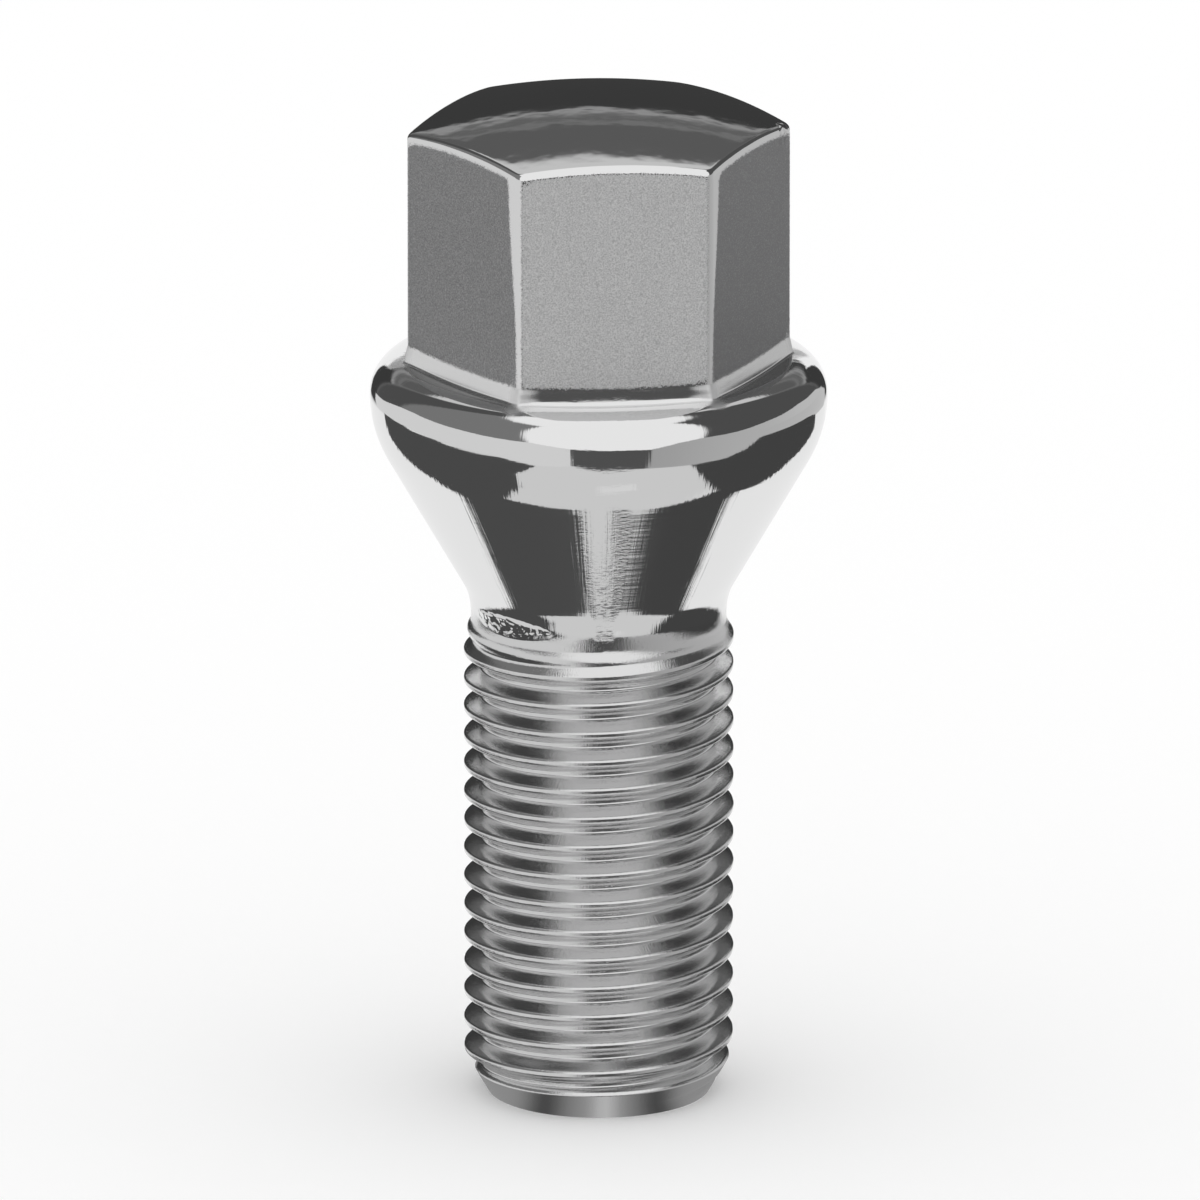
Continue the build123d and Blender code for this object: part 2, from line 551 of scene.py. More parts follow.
def satin_share(shape, azimuth, height, low, high):
    """How far each point of the hexagon lies inside the satin of its flat, in steps of half the
    bright margin: the least of its distances from the upright corners, from the flare's upper end
    and from the rounded upper edge, less the bright strip there. Beside corners, only the two of
    the flat that faces -Y have one, on their far sides."""
    from_corner = np.abs(from_nearest_corner(shape, azimuth))
    along = flat_half_width(shape) - shape.across_flats / 2 * np.tan(SIXTH / 2 - from_corner)
    on_front = flat_number(shape, azimuth) == FRONT_FLAT
    corner = np.round((azimuth - shape.hex_turn) / SIXTH) % 6
    beside_front = ~on_front & ((corner == FRONT_FLAT) | (corner == FRONT_FLAT + 1))
    up = (height - low) / (high - low)
    widening = STRIP_LOW + (1.0 - STRIP_LOW) * smooth_step(up, STRIP_START, 1.0)
    strip = shape.satin_margin * np.where(beside_front, widening, STRIP_ELSEWHERE)
    top_strip = np.where(on_front, 0.0, TOP_STRIP)
    foot_strip = shape.polished_foot * np.where(on_front, 1.0, SIDE_FOOT_SHARE)
    inside = np.minimum(along - strip, high - height - top_strip)
    inside = np.minimum(inside, height - low - foot_strip)
    return np.clip(inside / (shape.satin_margin / 2), -SATIN_LIMIT, SATIN_LIMIT)


def foot_share(shape, azimuth, radius, height, high):
    """How rough the foot of the hexagon is, up to the flare's upper end: half on the side flats'
    flare, nothing on the flare of the flat that faces -Y, and 1 at the corners, also on the
    collar's top just before them."""
    near_corner = 1.0 - smooth_step(np.abs(from_nearest_corner(shape, azimuth)), *CORNER_TURN)
    out = radius - hexagon_radius(shape, azimuth)
    corner = near_corner * (1.0 - smooth_step(out, *CORNER_REACH))
    rough = np.where(flat_number(shape, azimuth) == FRONT_FLAT, 0.0, FLARE_ROUGH)
    flare = rough * (1.0 - smooth_step(out, *FLARE_OUT))
    return np.maximum(corner, flare) * (1.0 - smooth_step(height, high, high + FOOT_END))


# Mesh


def quads_between(lower, upper):
    """Quads between two closed rows of vertex numbers."""
    corners = [lower, np.roll(lower, -1), np.roll(upper, -1), upper]
    return np.stack(corners, axis=-1).reshape(-1, 4)


def thread_quads(ids, neck_id):
    """Quads between the thread's rows. After the last column a row goes on in the first column as
    the row one pitch higher, and the highest rows end in the neck."""
    phases = len(THREAD_PHASES)
    after = np.empty_like(ids)
    after[:, :-1] = ids[:, 1:]
    after[:-phases, -1] = ids[phases:, 0]
    after[-phases:, -1] = neck_id
    return np.stack([ids[:-1], after[:-1], after[1:], ids[1:]], axis=-1).reshape(-1, 4)


def split_folded(quads):
    """The whole quads, and triangles from the quads that have one side folded to a point."""
    same = quads == np.roll(quads, -1, axis=1)
    once = same.sum(axis=1) == 1
    return quads[~same.any(axis=1)], quads[once][~same[once]].reshape(-1, 3)


def bolt_surface(shape):
    """Vertices and faces of the whole bolt as one closed skin on shared columns: a flat end, the
    helical rows of the thread, turned rows, head rows and a pole at either end. Where the
    thread's rows reach the end face or the neck they share its ring of vertices."""
    azimuth = hexagon_columns(shape)
    ones = np.ones(len(azimuth))
    thread_r, thread_z = thread_rows(shape, azimuth)
    turned_r, turned_z = turned_rows(shape)
    head_r, head_z, head_satin, head_foot = head_rows(shape, azimuth, turned_z[-1])

    plain = [(shape.end_r * part, 0.0) for part in END_PARTS]
    end_ring, neck_ring = len(plain) - 1, len(plain)
    plain += [(shape.neck_r, shape.neck_z)] + list(zip(turned_r, turned_z))
    ring_r = np.concatenate([[r * ones for r, z in plain], head_r])
    ring_z = np.concatenate([[z * ones for r, z in plain], head_z])
    ring_ids = np.arange(ring_r.size).reshape(ring_r.shape)
    thread_ids = ring_r.size + np.arange(thread_r.size).reshape(thread_r.shape)
    thread_ids = np.where(thread_z <= 0.0, ring_ids[end_ring][None, :], thread_ids)
    thread_ids = np.where(thread_z >= shape.neck_z, ring_ids[neck_ring][None, :], thread_ids)

    radius = np.concatenate([ring_r.ravel(), thread_r.ravel()])
    height = np.concatenate([ring_z.ravel(), thread_z.ravel()])
    turn = np.concatenate([np.broadcast_to(azimuth, rows.shape).ravel() for rows in (ring_r, thread_r)])
    points = np.stack([radius * np.cos(turn), radius * np.sin(turn), height], axis=1)
    low_pole, high_pole = len(points), len(points) + 1
    points = np.concatenate([points, [[0.0, 0.0, 0.0], [0.0, 0.0, HIGH[2]]]])

    satin, foot = np.full(len(points), -SATIN_LIMIT), np.zeros(len(points))
    satin[ring_ids[-len(head_r):]] = head_satin
    foot[ring_ids[-len(head_r):]] = head_foot
    # Painted shade of each flat: lightest on the flat that faces -Y, darkest on the two beside it
    painted_shade = np.concatenate([FLAT_PAINTED_SHADE[flat_number(shape, turn)], [0.0, 0.0]])

    lower_rings = [*range(end_ring), *range(neck_ring, len(ring_ids) - 1)]
    quads = [quads_between(ring_ids[k], ring_ids[k + 1]) for k in lower_rings]
    quads.append(thread_quads(thread_ids, ring_ids[neck_ring][0]))
    whole, triangles = split_folded(np.concatenate(quads))
    first, last = ring_ids[0], ring_ids[-1]
    low_cap = np.stack([np.full_like(first, low_pole), np.roll(first, -1), first], axis=1)
    high_cap = np.stack([np.full_like(last, high_pole), last, np.roll(last, -1)], axis=1)
    triangles = np.concatenate([triangles, low_cap, high_cap])
    return points, whole, triangles, {"satin": satin, "foot": foot, "painted_shade": painted_shade}


def build_mesh(name, points, quads, triangles, **shares):
    """A mesh object from arrays: unused vertices dropped, the rest renumbered, smooth faces.
    Each named share becomes a vertex attribute."""
    corners = np.concatenate([quads.ravel(), triangles.ravel()])
    used, corners = np.unique(corners, return_inverse=True)
    points = points[used]
    totals = np.concatenate([np.full(len(quads), 4), np.full(len(triangles), 3)])
    mesh = bpy.data.meshes.new(name)
    mesh.vertices.add(len(points))
    mesh.vertices.foreach_set("co", points.ravel().astype(np.float32))
    mesh.loops.add(len(corners))
    mesh.loops.foreach_set("vertex_index", corners.ravel().astype(np.int32))
    mesh.polygons.add(len(totals))
    mesh.polygons.foreach_set("loop_start", (np.cumsum(totals) - totals).astype(np.int32))
    mesh.update(calc_edges=True)
    for label, values in shares.items():
        share = mesh.attributes.new(label, "FLOAT", "POINT")
        share.data.foreach_set("value", values.ravel()[used].astype(np.float32))
    mesh.shade_smooth()
    thing = bpy.data.objects.new(name, mesh)
    bpy.context.scene.collection.objects.link(thing)
    return thing


# Numbers of the plating


# Heights between which one finish gives way to the next
HEAD_ZONE = (38.95 * MM, 39.25 * MM)
THREAD_ZONE = (25.3 * MM, 25.9 * MM)

# Noise cells to the metre, or to the metre along each axis
PEEL_CELLS = 700.0
GRAIN_CELLS = 14000.0
TORN_CELLS = 2900.0
RING_CELLS = (60.0, 60.0, 3600.0)
RAGGED_CELLS = (2200.0, 2200.0, 7500.0)
PIT_CELLS = (3100.0, 3100.0, 9000.0)

# Noise cells to the radian round the axis and to the metre along it
STREAK_CELLS = (45.0, 90.0)
SCRATCH_CELLS = (90.0, 2500.0)

# Streaks of the seat: how deep they are below and above two heights, if the rings' depth is 1
STREAK_HEIGHTS = (34.0 * MM, 36.0 * MM)
STREAK_DEPTHS = (6.0, 2.2)

# The rubbed patch: a wedge with its tip down, and its edge in half widths, then how its ragged
# rings and its pits fade upwards
RUBBED_MIDDLE = 0.3 * MM
RUBBED_TIP = 21.0 * MM
RUBBED_SPREAD = 0.12
RUBBED_EDGE = (0.5, 1.1)
RAGGED_HEIGHTS = (27.0 * MM, 35.5 * MM)
RAGGED_DEPTHS = (1.0, 0.12)
PIT_EDGE = (0.52, 0.64)
PIT_START = 26.9 * MM
PIT_FADE = (27.0 * MM, 31.5 * MM)

# Centre and half sizes of each torn spot, in millimetres, and its edge in half sizes
TORN_SPOTS = [
    ((-4.8, -4.5, 25.75), (3.0, 2.6, 0.55)),
    ((9.3, 0.4, 50.3), (0.5, 0.9, 0.7)),
]
TORN_EDGE = (0.6, 1.1)

# What the grain does to the satin's edge and tone, and the thread to the tone
GRAIN_FRAY = 1.6
SATIN_EDGE = (-0.15, 0.35)
GRAIN_TONE = 1.5
THREAD_TONE = 0.14
BRIGHT_METAL = (0.83, 0.83, 0.83, 1.0)
# Colour of the satin at full share: its duller plating, together with the painted shade of the flats
SATIN_AND_SHADE_METAL = (0.36, 0.36, 0.365, 1.0)
WHITE = (1.0, 1.0, 1.0, 1.0)
MICRON = 0.001 * MM


# Materials


def new_group(name, *outputs):
    """An empty shader node group with float outputs, and its end node."""
    group = bpy.data.node_groups.new(name, "ShaderNodeTree")
    for label in outputs:
        group.interface.new_socket(label, in_out="OUTPUT", socket_type="NodeSocketFloat")
    return group, group.nodes.new("NodeGroupOutput")


def math_node(tree, operation, a, b=None, clamp=False):
    """A Math node whose operands are numbers or sockets; returns its output."""
    node = tree.nodes.new("ShaderNodeMath")
    node.operation = operation
    node.use_clamp = clamp
    for slot, value in zip(node.inputs, (a, b)):
        if isinstance(value, bpy.types.NodeSocket):
            tree.links.new(value, slot)
        elif value is not None:
            slot.default_value = value
    return node.outputs[0]


def times(tree, a, b, clamp=False):
    """The product of two numbers or sockets."""
    return math_node(tree, "MULTIPLY", a, b, clamp)


def vector_node(tree, operation, vector, numbers=None, output="Vector"):
    """A Vector Math node on a socket and, where given, three numbers; returns its output."""
    node = tree.nodes.new("ShaderNodeVectorMath")
    node.operation = operation
    tree.links.new(vector, node.inputs[0])
    if numbers is not None:
        node.inputs[1].default_value = numbers
    return node.outputs[output]


def step_node(tree, value, edges, ends=(0.0, 1.0)):
    """A smooth ramp of a socket's value between two edges, from the first end to the second."""
    node = tree.nodes.new("ShaderNodeMapRange")
    node.interpolation_type = "SMOOTHSTEP"
    tree.links.new(value, node.inputs["Value"])
    for label, number in zip(("From Min", "From Max", "To Min", "To Max"), (*edges, *ends)):
        node.inputs[label].default_value = number
    return node.outputs["Result"]


def noise_node(tree, vector, cells=1.0, detail=3.0, roughness=0.6):
    """A 3D noise of a vector socket, with so many cells to its unit."""
    node = tree.nodes.new("ShaderNodeTexNoise")
    tree.links.new(vector, node.inputs["Vector"])
    node.inputs["Scale"].default_value = cells
    node.inputs["Detail"].default_value = detail
    node.inputs["Roughness"].default_value = roughness
    return node.outputs["Fac"]


def stretched_noise(tree, coords, cells, detail=3.0, roughness=0.6):
    """A noise with its own number of cells along each axis."""
    return noise_node(tree, vector_node(tree, "MULTIPLY", coords, cells), 1.0, detail, roughness)


def turned_noise(tree, x, y, z, cells, roughness):
    """A noise whose cells are counted round the axis and along it."""
    join = tree.nodes.new("ShaderNodeCombineXYZ")
    turn = math_node(tree, "ARCTAN2", y, x)
    for label, value, number in (("X", turn, cells[0]), ("Y", z, cells[1])):
        tree.links.new(times(tree, value, number), join.inputs[label])
    return noise_node(tree, join.outputs[0], roughness=roughness)


def attribute_node(tree, name):
    """The value of a mesh attribute."""
    node = tree.nodes.new("ShaderNodeAttribute")
    node.attribute_name = name
    return node.outputs["Fac"]


def object_point(tree):
    """The Object coordinates and their three parts."""
    coords = tree.nodes.new("ShaderNodeTexCoord").outputs["Object"]
    split = tree.nodes.new("ShaderNodeSeparateXYZ")
    tree.links.new(coords, split.inputs[0])
    return coords, split.outputs["X"], split.outputs["Y"], split.outputs["Z"]


def zone_group():
    """Masks of the bolt's three finishes by height: satin head, turned collar, rolled thread."""
    group, out = new_group("Bolt zones", "Head", "Collar", "Thread")
    z = object_point(group)[3]
    head = step_node(group, z, HEAD_ZONE)
    thread = step_node(group, z, THREAD_ZONE, (1.0, 0.0))
    collar = math_node(group, "SUBTRACT", 1.0, math_node(group, "ADD", head, thread), clamp=True)
    for label, socket in (("Head", head), ("Collar", collar), ("Thread", thread)):
        group.links.new(socket, out.inputs[label])
    return group


def peel_group():
    """Plating over a forged skin: broad orange peel and close grain."""
    group, out = new_group("Plated grain", "Peel", "Grain")
    coords = object_point(group)[0]
    group.links.new(noise_node(group, coords, PEEL_CELLS, 1.5, 0.5), out.inputs["Peel"])
    group.links.new(noise_node(group, coords, GRAIN_CELLS, 1.0, 0.6), out.inputs["Grain"])
    return group


def turning_group():
    """Marks left by turning and polishing on the seat: faint rings and upright streaks all over,
    and a rubbed patch of ragged rings and pits on the near side, strongest at its small end."""
    group, out = new_group("Turned rings", "Faint", "Ragged", "Pits")
    coords, x, y, z = object_point(group)
    streaks = turned_noise(group, x, y, z, STREAK_CELLS, 0.6)
    streaks = times(group, streaks, step_node(group, z, STREAK_HEIGHTS, STREAK_DEPTHS))
    faint = math_node(group, "ADD", stretched_noise(group, coords, RING_CELLS), streaks)

    off = math_node(group, "ABSOLUTE", math_node(group, "SUBTRACT", x, RUBBED_MIDDLE))
    half = times(group, math_node(group, "SUBTRACT", z, RUBBED_TIP), RUBBED_SPREAD)
    rubbed = step_node(group, math_node(group, "DIVIDE", off, half), RUBBED_EDGE, (1.0, 0.0))
    rubbed = times(group, rubbed, math_node(group, "LESS_THAN", y, 0.0))

    low = times(group, step_node(group, z, RAGGED_HEIGHTS, RAGGED_DEPTHS), rubbed)
    ragged = times(group, stretched_noise(group, coords, RAGGED_CELLS), low)

    pits = step_node(group, stretched_noise(group, coords, PIT_CELLS, 2.0, 0.5), PIT_EDGE)
    pits = times(group, pits, step_node(group, z, PIT_FADE, (1.0, 0.0)))
    pits = times(group, pits, math_node(group, "GREATER_THAN", z, PIT_START))
    pits = times(group, pits, rubbed)
    for label, socket in (("Faint", faint), ("Ragged", ragged), ("Pits", pits)):
        group.links.new(socket, out.inputs[label])
    return group


def burr_group():
    """Torn metal under the plating: round the neck on the left, and at one upper corner."""
    group, out = new_group("Torn spots", "Height")
    coords = object_point(group)[0]
    spots = []
    for centre, reach in TORN_SPOTS:
        away = vector_node(group, "SUBTRACT", coords, [value * MM for value in centre])
        away = vector_node(group, "MULTIPLY", away, [1.0 / (value * MM) for value in reach])
        length = vector_node(group, "LENGTH", away, output="Value")
        spots.append(step_node(group, length, TORN_EDGE, (1.0, 0.0)))
    torn = noise_node(group, coords, TORN_CELLS, 0.6, 0.5)
    torn = times(group, torn, math_node(group, "MAXIMUM", *spots))
    group.links.new(torn, out.inputs["Height"])
    return group


def scratch_group():
    """Short upright scratches across the crests, fine round the axis and long along it."""
    group, out = new_group("Upright scratches", "Height")
    x, y, z = object_point(group)[1:]
    group.links.new(turned_noise(group, x, y, z, SCRATCH_CELLS, 0.7), out.inputs["Height"])
    return group


def use_group(tree, group):
    """A node that applies a group in a material; returns its outputs."""
    node = tree.nodes.new("ShaderNodeGroup")
    node.node_tree = group
    return node.outputs


def weighted(tree, pairs):
    """Sum of mask times number over the pairs."""
    total = 0.0
    for mask, number in pairs:
        total = math_node(tree, "ADD", times(tree, mask, number), total)
    return total


def satin_and_shade_tone(tree, satin, grain, thread, pits):
    """The metal's colour: darker in the satin by its grain and by a painted shade set per flat, and
    darker on the thread and in the pits.
    """
    tone = tree.nodes.new("ShaderNodeMix")
    tone.data_type = "RGBA"
    tone.inputs["A"].default_value = BRIGHT_METAL
    tone.inputs["B"].default_value = SATIN_AND_SHADE_METAL
    shade = times(tree, grain, GRAIN_TONE)
    # Painted shade of each flat, darkening its satin
    shade = math_node(tree, "ADD", attribute_node(tree, "painted_shade"), shade)
    shade = times(tree, satin, shade, clamp=True)
    shade = math_node(tree, "ADD", shade, times(tree, thread, THREAD_TONE))
    tree.links.new(math_node(tree, "ADD", shade, pits, clamp=True), tone.inputs["Factor"])
    return tone.outputs["Result"]


def chrome_material():
    """Bright plating with three finishes: satin head, turned collar, rolled thread."""
    material = bpy.data.materials.new("chrome_plate")
    material.use_nodes = True
    tree = material.node_tree
    shader = tree.nodes["Principled BSDF"]
    shader.inputs["Metallic"].default_value = 1.0
    zones = use_group(tree, zone_group())
    peel = use_group(tree, peel_group())
    seat = use_group(tree, turning_group())
    scratches = use_group(tree, scratch_group())["Height"]
    torn = use_group(tree, burr_group())["Height"]

    grain = math_node(tree, "SUBTRACT", peel["Grain"], 0.5)
    frayed = times(tree, grain, GRAIN_FRAY)
    frayed = math_node(tree, "ADD", attribute_node(tree, "satin"), frayed)
    satin = step_node(tree, frayed, SATIN_EDGE)
    roughness = [
        (satin, 0.56),
        (zones["Head"], 0.06),
        (zones["Collar"], 0.05),
        (zones["Thread"], 0.065),
        (attribute_node(tree, "foot"), 0.34),
    ]
    tree.links.new(weighted(tree, roughness), shader.inputs["Roughness"])
    tone = satin_and_shade_tone(tree, satin, grain, zones["Thread"], seat["Pits"])
    tree.links.new(tone, shader.inputs["Base Color"])

    # Each relief, where it lies and its height in microns
    reliefs = [
        (peel["Peel"], zones["Head"], 22.0),
        (peel["Grain"], satin, 4.5),
        (peel["Grain"], zones["Thread"], 4.5),
        (seat["Faint"], zones["Collar"], 1.4),
        (seat["Ragged"], zones["Collar"], 30.0),
        (scratches, zones["Thread"], 10.0),
    ]
    parts = [(times(tree, relief, mask), height) for relief, mask, height in reliefs]
    bump = tree.nodes.new("ShaderNodeBump")
    bump.inputs["Distance"].default_value = MICRON
    tree.links.new(weighted(tree, parts + [(torn, 170.0)]), bump.inputs["Height"])
    tree.links.new(bump.outputs["Normal"], shader.inputs["Normal"])
    return material


def floor_material():
    """A matt white."""
    material = bpy.data.materials.new("floor")
    material.use_nodes = True
    shader = material.node_tree.nodes["Principled BSDF"]
    shader.inputs["Base Color"].default_value = WHITE
    shader.inputs["Roughness"].default_value = 1.0
    shader.inputs["Specular IOR Level"].default_value = 0.0
    return material


def glow_material():
    """The light tent's skin: glows as bright as its vertices say."""
    material = bpy.data.materials.new("tent_light")
    material.use_nodes = True
    tree = material.node_tree
    tree.nodes.clear()
    glow = tree.nodes.new("ShaderNodeEmission")
    out = tree.nodes.new("ShaderNodeOutputMaterial")
    tree.links.new(attribute_node(tree, "light"), glow.inputs["Strength"])
    tree.links.new(glow.outputs[0], out.inputs["Surface"])
    material.cycles.emission_sampling = "NONE"
    return material


# Numbers of the light tent, with azimuths from the far side towards +X, in degrees


# The tent is a sphere
TENT_DISTANCE = 30.0
TENT_RISES = np.arange(-89.5, 89.6, 1.79)
TENT_COLUMNS = 200

# Bright cloth, and ground that takes over below it and is dimmer towards the camera
CLOTH = 0.93
GROUND_RISE = (13, 15)
GROUND_TURN = (-110, -80)
GROUND_LEVELS = (0.68, 0.90)

# Sheets hung over the cloth, each over the one before: left and right edge at two elevations and
# their softness, lower and upper edge and their softness, and brightness. One is grey, to the
# left, two are dark, and the rest are one behind that darkens downwards, with two stripes.
EDGE_RISES = (14, 66)
SHEETS = [
    ((-142, -126), (-22, -22), 3, (-30, 64), 3, 0.20),
    ((-58, -58), (-22, -22), 4, (-30, 64), 3, 0.08),
    ((22, 22), (124, 104), 3, (-30, 64), 3, 0.08),
    ((-30, -30), (30, 30), 3, (-30, 58), 2, 0.62),
    ((-30, -30), (30, 30), 3, (-30, 38), 2, 0.11),
    ((-30, -30), (30, 30), 3, (-30, 18), 8, 0.045),
    ((-30, -30), (30, 30), 3, (18.8, 21.0), 0.8, 0.34),
    ((-30, -30), (30, 30), 3, (23.8, 25.4), 0.8, 0.19),
]

# Level bands round the bolt: azimuth, lower and upper elevation, and brightness
BAND_DISTANCE = 4.5
BAND_STRIP = 3
BANDS = [
    [
        (-166, -27, 0, 0.72), (-160, -28, 4, 0.72), (-146, -28, 12.5, 0.72), (-127, -23, 14, 0.72),
        (-101, -20.5, 15, 0.72), (-88, -18.5, 15, 0.72), (-70, -16.5, 14, 0.72),
        (-60, -15.8, 10, 0.72), (-44, -15, -1, 0.72), (-30, -14, -6, 0.72),
    ],
    [
        (22, -16, -9, 0.56), (37, -16.5, 6, 0.56), (57, -13.5, 13, 0.55), (90, -15.5, 13, 0.48),
        (98, -22.5, 12, 0.47), (109, -26.5, 11, 0.46), (127, -29.5, 13, 0.43),
        (140, -30, 8, 0.40), (154, -30, -5, 0.38),
    ],
    [(154, -30, -5, 0.09), (180, -31.5, -3, 0.09), (194, -27, 0, 0.09)],
]

# Two dark flat cards below the bolt, the second a little above the first: outlines in multiples
# of the depth under the bolt's middle, and brightness
FLAT_DEPTH = 5.0
FLAT_GAP = 0.02
LEFT_DARK = [
    (-0.08, -0.24), (-0.19, -0.26), (-0.6, -0.14), (-0.68, -0.55), (-0.98, -0.9), (-1.02, -1.54),
    (-1.88, -1.42), (-3.0, 0.1), (-3.1, 1.75), (-2.7, 3.05), (-1.6, 1.85), (-1.25, 1.05),
    (-1.02, 0.6), (-0.76, 0.37), (-0.3, 0.2), (-0.1, -0.1),
]
RIGHT_DARK = [
    (0.08, -0.26), (0.25, -0.2), (0.79, -0.04), (1.02, -0.5), (1.37, -1.11), (1.9, -0.65),
    (2.4, -0.35), (3.6, 0.0), (3.85, 0.6), (3.5, 2.25), (2.05, 2.7), (1.47, 2.2),
    (1.25, 1.14), (0.94, 0.6), (0.82, 0.3), (0.69, 0.31), (0.3, 0.15), (0.08, -0.1),
]
FLAT_CARDS = [(LEFT_DARK, 0.075), (RIGHT_DARK, 0.06)]

# Near cards, in millimetres, each with its brightness last. An upright one behind the collar: half
# width, distance, lower and upper edge. A bright one on the floor before the bolt, for the neck.
NEAR_CARD = (18, 24, 28, 45.5, 0.95)
NEAR_SPOT = ([(0, -35), (14, -36.5), (15, -44), (0, -43)], 0.76)

# A curved wall for the head alone: distance, lower and upper edge, two azimuths, brightness at them
NEAR_WALL = (60, 22.5, 36, (38, 100), (0.56, 0.47))
WALL_EDGES = 16

# The floor round the end face, in the bolt's shade: radius, brightness, and by azimuth and width
# how much brighter
NEAR_FLOOR = (11.0, 0.31, [(177, 7, 0.26), (148, 13, -0.23), (210, 13, -0.23)])
FLOOR_STRIP = 4
FLOOR_LIFT = 0.02 * MM

FLOOR_HALF = 3.0  # half the width of the white floor, in metres
SENSOR_WIDTH = 36.0  # of the camera, in millimetres


# Studio


def sky_light(turn, rise):
    """Brightness of the tent by azimuth from the far side and by elevation, in degrees: bright
    cloth with the sheets hung over it, and the ground. Each edge is a smooth step."""
    light = np.full_like(rise, CLOTH)
    for left, right, side_soft, (low, high), soft, level in SHEETS:
        left_edge = np.interp(rise, EDGE_RISES, left)
        right_edge = np.interp(rise, EDGE_RISES, right)
        window = between(turn, left_edge, right_edge, side_soft) * between(rise, low, high, soft)
        light = hang(light, window, level)
    dim, bright = GROUND_LEVELS
    ground = dim + (bright - dim) * smooth_step(-np.abs(turn), *GROUND_TURN)
    return hang(light, smooth_step(-rise, *GROUND_RISE), ground)


def between(value, low, high, soft):
    """1 between low and high, falling to 0 over the soft width outside them."""
    return smooth_step(value, low - soft, low) * (1.0 - smooth_step(value, high, high + soft))


def hang(light, window, level):
    """Hangs a card of one level in the tent where its window is 1."""
    return light + (level - light) * window


def toward(turn, rise, distance):
    """Points at a distance from the bolt's middle, by azimuth from the far side and elevation."""
    turn, rise = np.radians(turn), np.radians(rise)
    middle = np.array([0.0, 0.0, HIGH[2] / 2])
    across = np.cos(rise)
    direction = np.stack([across * np.sin(turn), across * np.cos(turn), np.sin(rise)], axis=-1)
    return middle + distance * direction


def ring_points(radius, turn, height):
    """Points at one radius and height round the axis, by azimuth from the far side."""
    turn = np.radians(turn)
    return np.stack([radius * np.sin(turn), radius * np.cos(turn), np.full(turn.shape, height)], axis=-1)


def hang_in_tent(thing):
    """Makes an object part of the light tent, which only the bolt's gloss sees."""
    thing.data.materials.append(bpy.data.materials.get("tent_light") or glow_material())
    for flag in ("visible_camera", "visible_diffuse", "visible_shadow", "visible_volume_scatter"):
        setattr(thing, flag, False)


def hang_sphere():
    """The tent: a sphere round the bolt, far enough off that only the direction counts."""
    turn = np.linspace(-180.0, 180.0, TENT_COLUMNS, endpoint=False)
    rise, turn = np.meshgrid(TENT_RISES, turn, indexing="ij")
    points = toward(turn, rise, TENT_DISTANCE).reshape(-1, 3)
    ids = np.arange(turn.size).reshape(turn.shape)
    quads = np.concatenate([quads_between(ids[k], ids[k + 1]) for k in range(len(ids) - 1)])
    light = sky_light(turn, rise)
    hang_in_tent(build_mesh("tent_sphere", points, quads, NO_TRIANGLES, light=light))


def strips(low_edge, high_edge, light):
    """Narrow cards side by side between two edges: each an outline and its points' brightness."""
    return [
        ([low_edge[k], low_edge[k + 1], high_edge[k + 1], high_edge[k]], light[[k, k + 1, k + 1, k]])
        for k in range(len(light) - 1)
    ]


def far_cards():
    """The level bands in strips, and the flat cards below the bolt."""
    cards = []
    for band in BANDS:
        turn, low, high, level = np.array(band, float).T
        fine = np.linspace(turn[0], turn[-1], int((turn[-1] - turn[0]) / BAND_STRIP) + 2)
        bottom = toward(fine, np.interp(fine, turn, low), BAND_DISTANCE)
        top = toward(fine, np.interp(fine, turn, high), BAND_DISTANCE)
        cards += strips(bottom, top, np.interp(fine, turn, level))
    for order, (outline, level) in enumerate(FLAT_CARDS):
        depth = FLAT_DEPTH - FLAT_GAP * order
        corners = [(x * depth, y * depth, HIGH[2] / 2 - depth) for x, y in outline]
        cards.append((corners, [level] * len(outline)))
    return cards


def near_cards():
    """The card behind the collar, the spot before the bolt, the curved wall and the floor round
    the end face."""
    half, away, low, high, level = NEAR_CARD
    corners = ((-half, low), (half, low), (half, high), (-half, high))
    cards = [([(x * MM, away * MM, z * MM) for x, z in corners], [level] * len(corners))]
    outline, level = NEAR_SPOT
    cards.append(([(x * MM, y * MM, FLOOR_LIFT) for x, y in outline], [level] * len(outline)))

    away, low, high, span, shine = NEAR_WALL
    turn = np.linspace(*span, WALL_EDGES)
    edges = [ring_points(away * MM, turn, z * MM) for z in (low, high)]
    cards += strips(*edges, np.interp(turn, span, shine))

    reach, level, changes = NEAR_FLOOR
    turn = np.arange(0, 361, FLOOR_STRIP)
    light = level + sum(change * np.exp(-(((turn - at) / width) ** 2)) for at, width, change in changes)
    rim, inner = [ring_points(radius * MM, turn, FLOOR_LIFT) for radius in (reach, reach / 2)]
    return cards + strips(rim, inner, light)


def hang_cards():
    """All cards as one object in the tent, each with points of its own."""
    points, faces, levels = [], [], []
    for outline, light in far_cards() + near_cards():
        faces.append([len(points) + k for k in range(len(outline))])
        points.extend(outline)
        levels.extend(light)
    mesh = bpy.data.meshes.new("tent_cards")
    mesh.from_pydata(np.array(points).tolist(), [], faces)
    share = mesh.attributes.new("light", "FLOAT", "POINT")
    share.data.foreach_set("value", levels)
    thing = bpy.data.objects.new("tent_cards", mesh)
    bpy.context.scene.collection.objects.link(thing)
    hang_in_tent(thing)


def lay_floor():
    """A white floor that catches the bolt's shadow and that its gloss doesn't see."""
    corners = FLOOR_HALF * np.array([(-1, -1, 0), (1, -1, 0), (1, 1, 0), (-1, 1, 0)])
    floor = build_mesh("studio_floor", corners, np.array([[0, 1, 2, 3]]), NO_TRIANGLES)
    floor.data.materials.append(floor_material())
    floor.visible_glossy = False


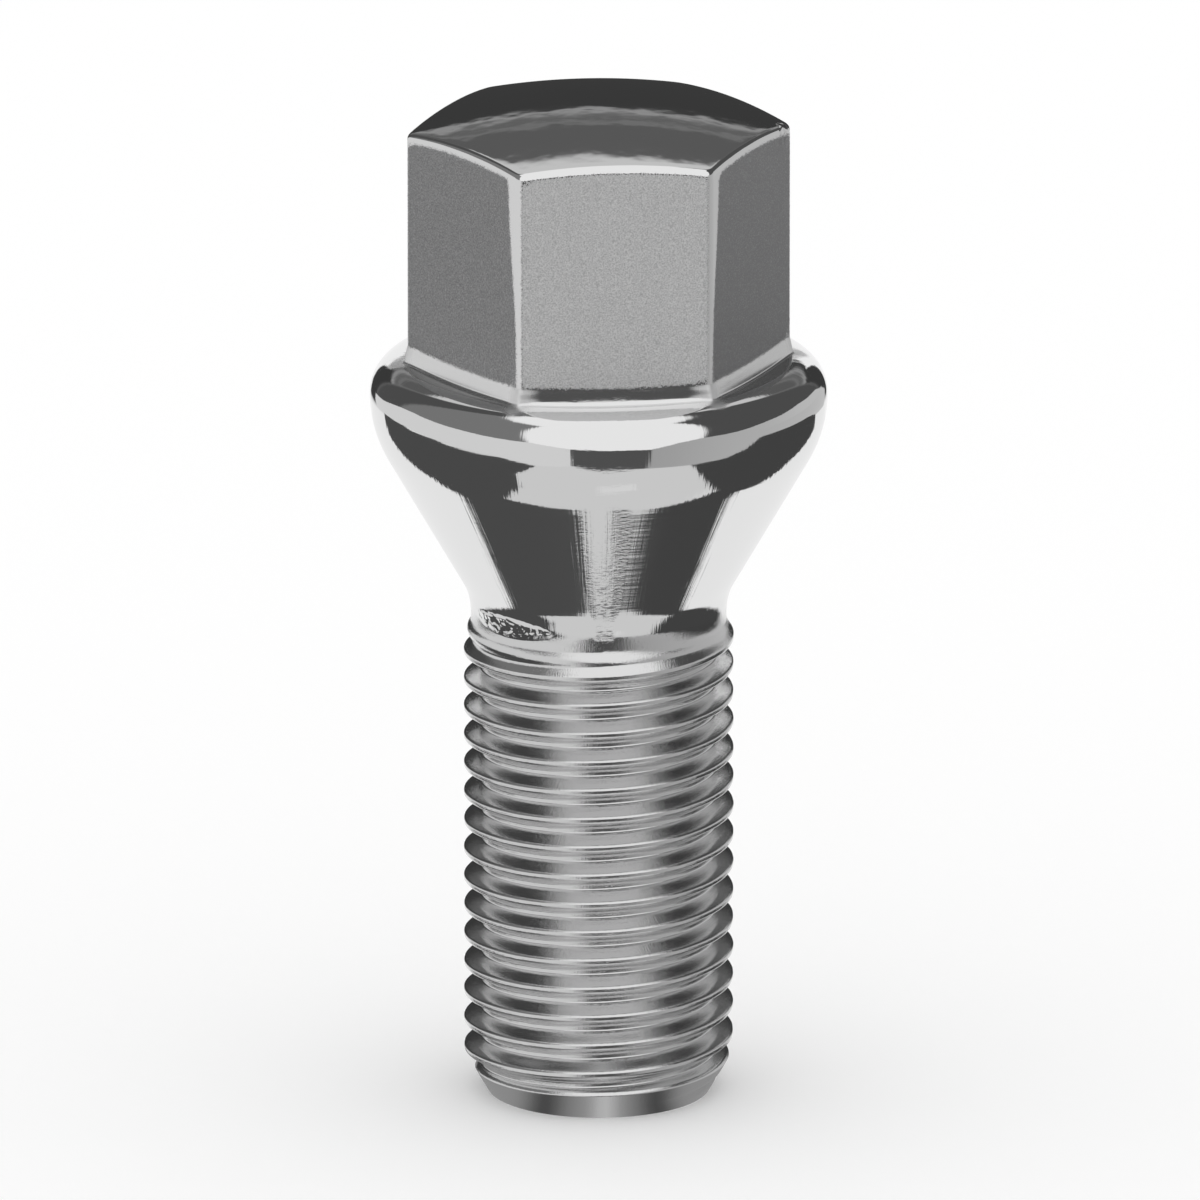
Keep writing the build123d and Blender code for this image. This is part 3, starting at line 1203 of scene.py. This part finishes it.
def white_world():
    """A white surround that lights the bolt and the floor evenly."""
    world = bpy.data.worlds.new("studio")
    world.use_nodes = True
    background = world.node_tree.nodes["Background"]
    background.inputs["Color"].default_value = WHITE
    background.inputs["Strength"].default_value = 1.0
    return world


def add_camera(settings):
    """A far camera aimed so that the bolt's foot and axis fall where the photograph has them."""
    lift = settings.elevation
    px = settings.pixels_per_mm
    aim_x = (PICTURE_PX / 2 - settings.axis_px) / px
    aim_z = (settings.foot_px - PICTURE_PX / 2) / (px * math.cos(lift))
    back = np.array([0.0, -math.cos(lift), math.sin(lift)])
    data = bpy.data.cameras.new("camera")
    data.sensor_width = SENSOR_WIDTH
    data.lens = data.sensor_width * settings.distance / (PICTURE_PX / px * MM)
    camera = bpy.data.objects.new("camera", data)
    camera.location = np.array([aim_x, 0.0, aim_z]) * MM + back * settings.distance
    camera.rotation_euler = (math.radians(90) - lift, 0.0, 0.0)
    bpy.context.scene.collection.objects.link(camera)
    return camera


# Operators


class BOLT_OT_model(bpy.types.Operator):
    """Builds the bolt's surface and its plating"""

    bl_idname = "wheel_bolt.model"
    bl_label = "Model Bolt"

    def execute(self, context):
        points, quads, triangles, shares = bolt_surface(context.scene.bolt_shape)
        bolt = build_mesh("bolt", points, quads, triangles, **shares)
        bolt.data.materials.append(chrome_material())
        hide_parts(NODE)
        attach(bolt, "root")
        return {"FINISHED"}


class BOLT_OT_studio(bpy.types.Operator):
    """Sets up the floor, the light tent and the camera"""

    bl_idname = "wheel_bolt.studio"
    bl_label = "Set Up Studio"

    def execute(self, context):
        scene = context.scene
        lay_floor()
        hang_sphere()
        hang_cards()
        scene.world = white_world()
        scene.camera = add_camera(scene.bolt_studio)
        scene.view_settings.view_transform = "Standard"
        return {"FINISHED"}


class BOLT_PT_panel(bpy.types.Panel):
    """Panel with the bolt's sizes and the two steps"""

    bl_idname = "BOLT_PT_panel"
    bl_label = "Wheel Bolt"
    bl_space_type = "VIEW_3D"
    bl_region_type = "UI"
    bl_category = "Wheel Bolt"

    def draw(self, context):
        column = self.layout.column()
        for settings in (context.scene.bolt_shape, context.scene.bolt_studio):
            for label in settings.__annotations__:
                column.prop(settings, label)
        column.operator(BOLT_OT_model.bl_idname)
        column.operator(BOLT_OT_studio.bl_idname)


CLASSES = (BoltShape, StudioSettings, BOLT_OT_model, BOLT_OT_studio, BOLT_PT_panel)


def register():
    for cls in CLASSES:
        bpy.utils.register_class(cls)
    bpy.types.Scene.bolt_shape = bpy.props.PointerProperty(type=BoltShape)
    bpy.types.Scene.bolt_studio = bpy.props.PointerProperty(type=StudioSettings)


def unregister():
    del bpy.types.Scene.bolt_studio
    del bpy.types.Scene.bolt_shape
    for cls in reversed(CLASSES):
        bpy.utils.unregister_class(cls)


def main():
    register()
    bpy.ops.wheel_bolt.model()
    bpy.ops.wheel_bolt.studio()


if __name__ == "__main__":
    main()
